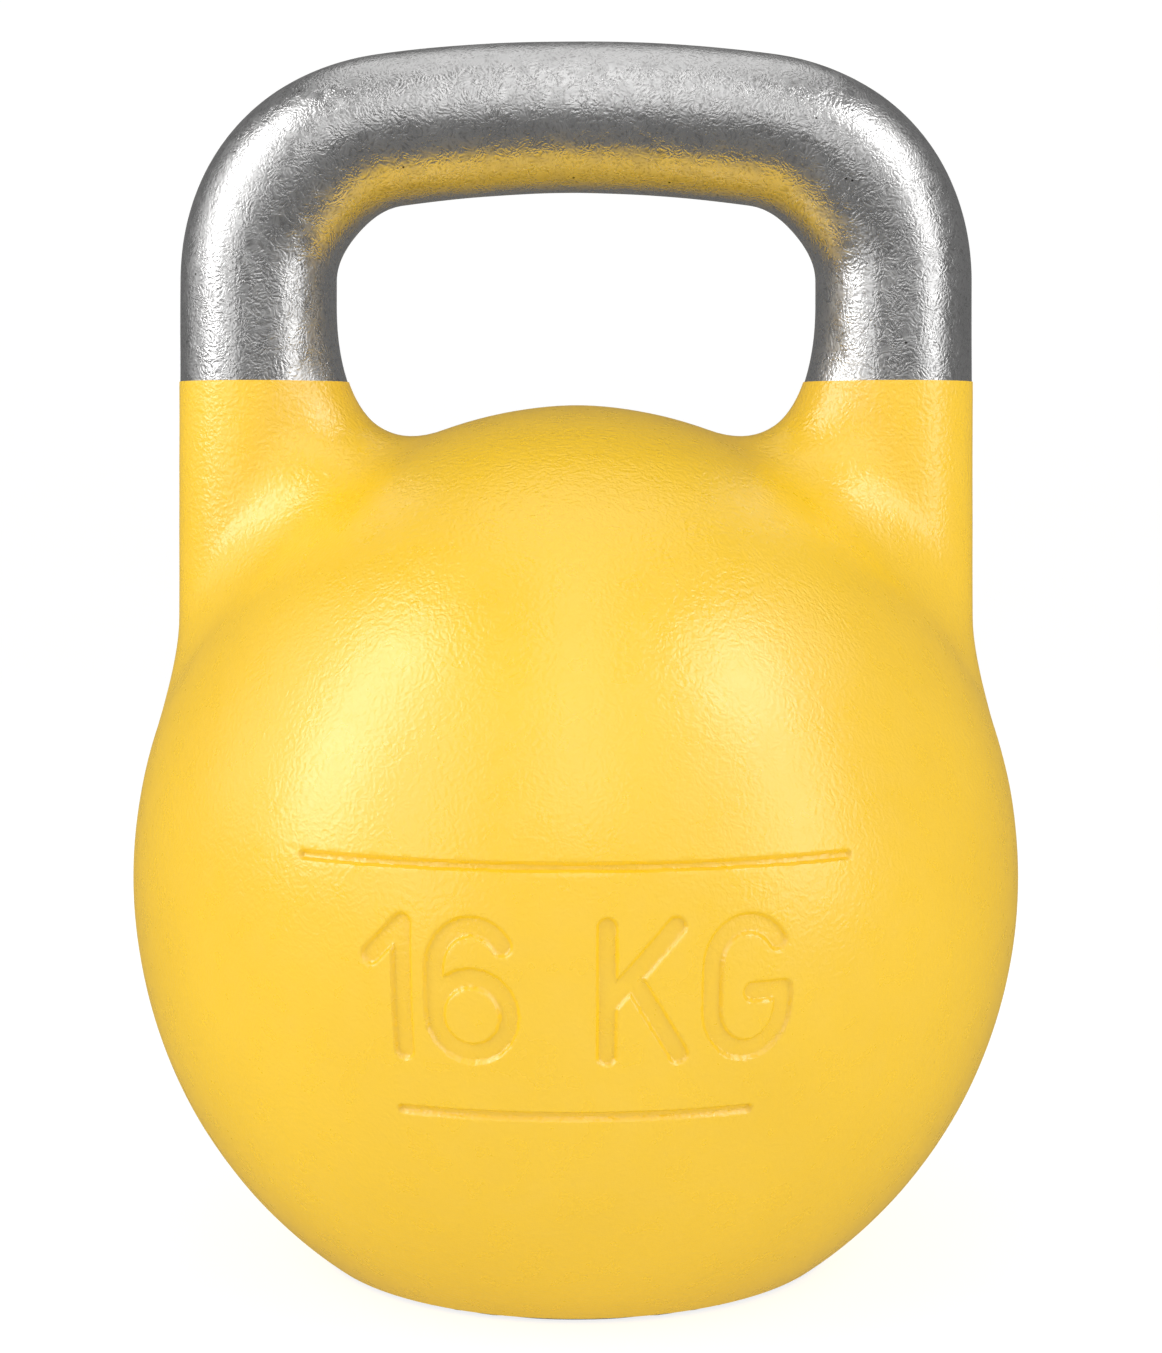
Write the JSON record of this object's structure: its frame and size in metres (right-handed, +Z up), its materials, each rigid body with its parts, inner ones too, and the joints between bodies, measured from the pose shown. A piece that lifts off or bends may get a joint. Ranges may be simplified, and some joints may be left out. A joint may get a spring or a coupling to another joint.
{
  "type": "kettlebell",
  "caption": "Competition kettlebell: powder-coated ball with a flat foot, bare cast handle with upright horns and an arched grip, ballast and a threaded plug inside.",
  "frame": {"origin": "middle of the flat foot, on the surface that the bell stands on", "axes": "+Z up; +X along the grip's bar; -Y is the front, where the weight mark is in the visual model"},
  "size_m": [0.2106, 0.2106, 0.2879],
  "materials": {
    "cast_metal": "bare cast steel, tumbled, with a fine hammered texture",
    "yellow_coat": "yellow polyester powder coat, satin with a light orange peel",
    "ballast": "iron shot set in resin",
    "machined_steel": "turned steel, lightly oiled",
    "seal_rubber": "smooth black rubber"
  },
  "bodies": {
    "root": {"casting": "cast_metal", "powder_coat": "yellow_coat", "ballast_block": "ballast", "base_plug": "machined_steel", "plug_seal": "seal_rubber", "plug_lock_screws": "machined_steel", "trim_discs": "machined_steel", "trim_bolt": "machined_steel"}
  },
  "joints": []
}
